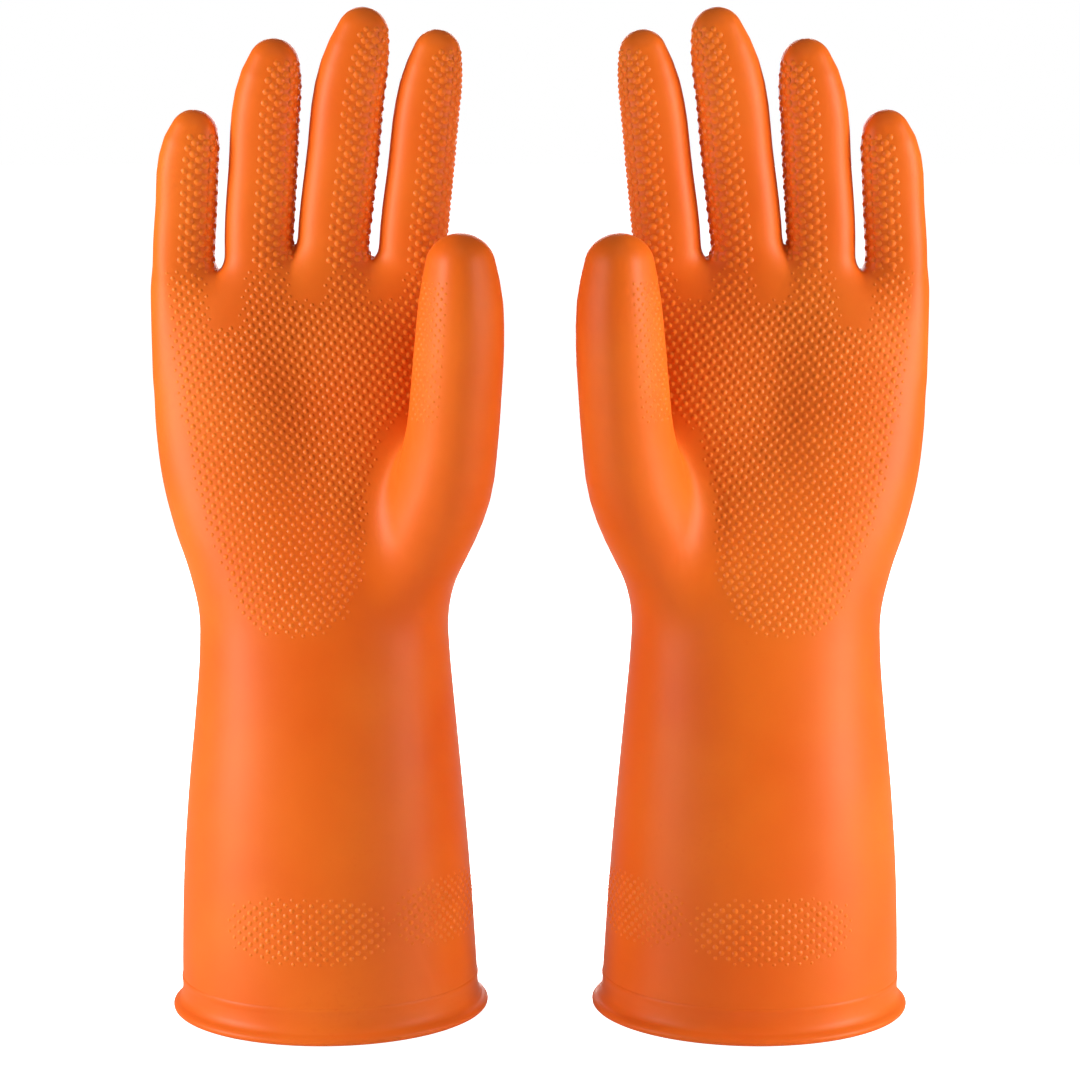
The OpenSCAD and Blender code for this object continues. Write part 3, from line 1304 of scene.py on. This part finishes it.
@dataclass
class Shell:
    """What both gloves are made from: the net and the dots, with their directions and their sections."""

    form: GloveForm
    division: Division
    net: Net
    normals: Array
    labels: Array
    spots: Spots
    spot_normals: Array
    spot_labels: Array

    @staticmethod
    def make(placing: Placing, relax_rounds: int = 3) -> Shell:
        """Makes the right-hand glove's shell.

        Args:
            placing: the frame that it fits.
            relax_rounds: how often the net is evened out.

        Returns:
            The shell.
        """
        form = GloveForm(placing)
        division = Division(form)
        net = make_net(form).relaxed(form, relax_rounds)
        middles = net.points[net.quads].mean(axis=1)
        spots = GripPattern(form).spots()
        log.info("shell: %d quads, %d dots", len(net.quads), len(spots.points))
        return Shell(
            form,
            division,
            net,
            normals=form.facing(net.points),
            labels=division.section_of(middles),
            spots=spots,
            spot_normals=form.facing(spots.points),
            spot_labels=division.section_of(spots.points),
        )


@dataclass
class Glove:
    """One glove of the pair."""

    side: Side
    placing: Placing
    shell: Shell
    finishes: dict[str, bpy.types.Material]
    rim: RolledRim = field(default_factory=RolledRim)
    dots: DotShape = field(default_factory=DotShape)

    @property
    def mirror(self) -> Array:
        """Returns the factors that turn the right-hand shape into this one."""
        return np.array([1.0 if self.side is Side.RIGHT else -1.0, 1, 1])

    def placed(self, points: Array) -> Array:
        """Returns right-hand millimetres as this glove's metres in the frame."""
        return points * self.mirror * MM + [self.placing.middle, 0, 0]

    def turned(self, faces: Array) -> Array:
        """Returns faces that still point outwards on this glove."""
        return faces if self.side is Side.RIGHT else faces[:, ::-1]

    def mesh_piece(
        self, name: str, points: Array, faces: Array, normals: Array | None = None
    ) -> bpy.types.Object:
        """Makes a piece from right-hand points and faces.

        Args:
            name: the piece's name without the side.
            points: right-hand points in millimetres.
            faces: right-hand quads.
            normals: right-hand shading directions, if they aren't the mesh's own.

        Returns:
            The piece, in its place in the frame.
        """
        full = f"{self.side.value}_{name}"
        mesh = bpy.data.meshes.new(full)
        mesh.from_pydata(self.placed(points).tolist(), [], self.turned(faces).tolist())
        mesh.shade_smooth()
        if normals is not None:
            mesh.normals_split_custom_set_from_vertices((normals * self.mirror).tolist())
        piece = add_object(full, mesh)
        lit_group(self.side).objects.link(piece)
        return piece

    def bend(self, piece: bpy.types.Object) -> None:
        """Bakes a piece's place into its mesh."""
        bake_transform(piece)

    def make_skin(self, number: int, section: Section) -> None:
        """Makes a section's piece of film.

        Args:
            number: the section's number.
            section: the section.
        """
        shell = self.shell
        patch = Patch.cut(shell.net, shell.normals, shell.labels == number, shell.form.wall)
        piece = self.mesh_piece(f"{section.name}_skin", patch.points, patch.faces, patch.normals)
        piece.data.materials.append(self.finishes["outside"])
        piece.data.materials.append(self.finishes["inside"])
        piece.data.polygons.foreach_set("material_index", patch.surfaces)
        self.bend(piece)
        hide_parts(*(f"{self.side.value}_{node}" for node in section.stands_for))
        log.info("%s: %d faces", piece.name, len(piece.data.polygons))

    def make_grip(self, number: int, section: Section) -> None:
        """Makes a section's raised dots, where it has any.

        Args:
            number: the section's number.
            section: the section.
        """
        shell = self.shell
        mine = shell.spot_labels == number
        if not mine.any():
            return
        name = f"{self.side.value}_{section.name}_grip"
        points, facing = self.placed(shell.spots.points[mine]), shell.spot_normals[mine] * self.mirror
        piece = self.dots.stand_on(name, points, facing, shell.spots.sizes[mine], self.finishes["grip"])
        lit_group(self.side).objects.link(piece)
        self.bend(piece)
        log.info("%s: %d dots", name, len(points))

    def make_rim(self) -> None:
        """Makes the rolled edge."""
        points, quads = self.rim.build(self.shell.form)
        piece = self.mesh_piece("rolled_rim", points, quads)
        piece.data.materials.append(self.finishes["bead"])
        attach(piece, f"{self.side.value}_sleeve")
        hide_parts(f"{self.side.value}_cuff_bead")
        log.info("%s: %d faces", piece.name, len(quads))

    def build(self) -> None:
        """Makes every piece of the glove."""
        for number, section in enumerate(self.shell.division.sections()):
            self.make_skin(number, section)
            self.make_grip(number, section)
        self.make_rim()


# ---- the studio ----


@dataclass(frozen=True)
class SoftBox:
    """A soft rectangular light, which may be kept to one glove and the floor."""

    name: str
    place: Triple
    width: float
    height: float
    power: float
    colour: Triple = (1.0, 1.0, 1.0)
    side: Side | None = None

    def build(self, target: Triple) -> None:
        """Sets the light up, turned towards a point.

        Args:
            target: the point, in metres.
        """
        light = bpy.data.lights.new(self.name, "AREA")
        light.shape = "RECTANGLE"
        light.size, light.size_y = self.width, self.height
        light.energy = self.power
        light.color = self.colour
        lamp = add_object(self.name, light)
        lamp.location = self.place
        lamp.rotation_euler = heading_of(self.place, target)
        if self.side:
            lamp.light_linking.receiver_collection = lit_group(self.side)


def lit_group(side: Side) -> bpy.types.Collection:
    """Returns the group of things that one glove's own lights fall on."""
    name = f"lit_{side.value}"
    return bpy.data.collections.get(name) or bpy.data.collections.new(name)


def heading_of(place: Triple, target: Triple) -> Triple:
    """Returns the turning that points a light or a camera from its place at a target."""
    across, ahead, up = (t - p for t, p in zip(target, place))
    return (math.atan2(math.hypot(across, ahead), -up), 0.0, math.atan2(-across, ahead))


@dataclass(frozen=True)
class Studio:
    """A white floor, soft lights and the camera."""

    aim: Triple = (0.0, 0.0, 0.1482)
    distance: float = 0.85
    elevation: float = 8.5
    view_width: float = 0.3336
    floor_size: float = 40.0
    surround: float = 0.13
    backdrop: float = 1.0
    floor_glow: float = 1.05
    lights: tuple[SoftBox, ...] = (
        SoftBox("key_right_hand", (-1.08, -0.4, 0.36), 0.4, 0.7, 14.0, (1.0, 0.98, 0.9), Side.RIGHT),
        SoftBox("key_left_hand", (1.08, -0.4, 0.36), 0.4, 0.7, 14.0, (1.0, 0.98, 0.9), Side.LEFT),
        SoftBox("inner_right_hand", (0.75, -0.36, 0.3), 0.25, 0.6, 3.8, (1.0, 0.94, 0.92), Side.RIGHT),
        SoftBox("inner_left_hand", (-0.75, -0.36, 0.3), 0.25, 0.6, 3.8, (1.0, 0.94, 0.92), Side.LEFT),
        SoftBox("top_fill", (0.0, -0.7, 1.3), 1.0, 0.6, 1.2),
        SoftBox("back_rim", (0.0, 0.9, 0.35), 0.5, 0.6, 6.5),
    )

    def build(self) -> None:
        """Sets up the floor, the world, the lights and the camera."""
        self.build_floor()
        self.build_world()
        bpy.context.scene.view_settings.view_transform = "Standard"
        for light in self.lights:
            light.build(self.aim)
        self.build_camera()

    def build_floor(self) -> None:
        """Lays a floor with a soft gloss, which the camera sees as plain white."""
        half = self.floor_size / 2
        corners = [(-half, -half, 0), (half, -half, 0), (half, half, 0), (-half, half, 0)]
        mesh = bpy.data.meshes.new("studio_floor")
        mesh.from_pydata(corners, [], [(0, 1, 2, 3)])
        floor = add_object("studio_floor", mesh)
        paint = bpy.data.materials.new("studio_white")
        paint.use_nodes = True
        tree = paint.node_tree
        seen = tree.nodes.new("ShaderNodeLightPath").outputs["Is Camera Ray"]
        glow = add_node(tree, "ShaderNodeMath", {0: seen, 1: self.floor_glow}, operation="MULTIPLY")
        fed = {
            "Base Color": (0.6, 0.6, 0.6, 1), "Roughness": 0.3, "Emission Color": (1, 1, 1, 1),
            "Emission Strength": glow.outputs["Value"],
        }
        feed(tree, tree.nodes["Principled BSDF"], fed)
        mesh.materials.append(paint)
        for side in Side:
            lit_group(side).objects.link(floor)

    def build_world(self) -> None:
        """Surrounds the set with soft white, which is brighter as a backdrop than as a light."""
        world = bpy.data.worlds.new("studio_world")
        world.use_nodes = True
        tree = world.node_tree
        seen = tree.nodes.new("ShaderNodeLightPath").outputs["Is Camera Ray"]
        fed = {"Value": seen, "To Min": self.surround, "To Max": self.backdrop}
        strength = add_node(tree, "ShaderNodeMapRange", fed).outputs["Result"]
        feed(tree, tree.nodes["Background"], {"Color": (1, 1, 1, 1), "Strength": strength})
        bpy.context.scene.world = world

    def build_camera(self) -> None:
        """Stands the camera in front of the palms, a little above them."""
        tilt = math.radians(self.elevation)
        camera = bpy.data.cameras.new("camera")
        camera.lens = camera.sensor_width * self.distance / self.view_width
        stand = add_object("camera", camera)
        stand.location = (
            self.aim[0],
            self.aim[1] - self.distance * math.cos(tilt),
            self.aim[2] + self.distance * math.sin(tilt),
        )
        stand.rotation_euler = heading_of(tuple(stand.location), self.aim)
        bpy.context.scene.camera = stand


def main() -> None:
    """Builds the studio and both gloves round the frame."""
    logging.basicConfig(level=logging.INFO, format="%(name)s: %(message)s")
    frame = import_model()
    Studio().build()
    shell = Shell.make(Placing(frame, Side.RIGHT))
    kinds = {"outside": OUTSIDE, "inside": INSIDE, "grip": GRIP_PAINTED_HIGHLIGHT, "bead": BEAD}
    finishes = {use: finish.build() for use, finish in kinds.items()}
    for side in Side:
        Glove(side, Placing(frame, side), shell, finishes).build()


if __name__ == "__main__":
    main()
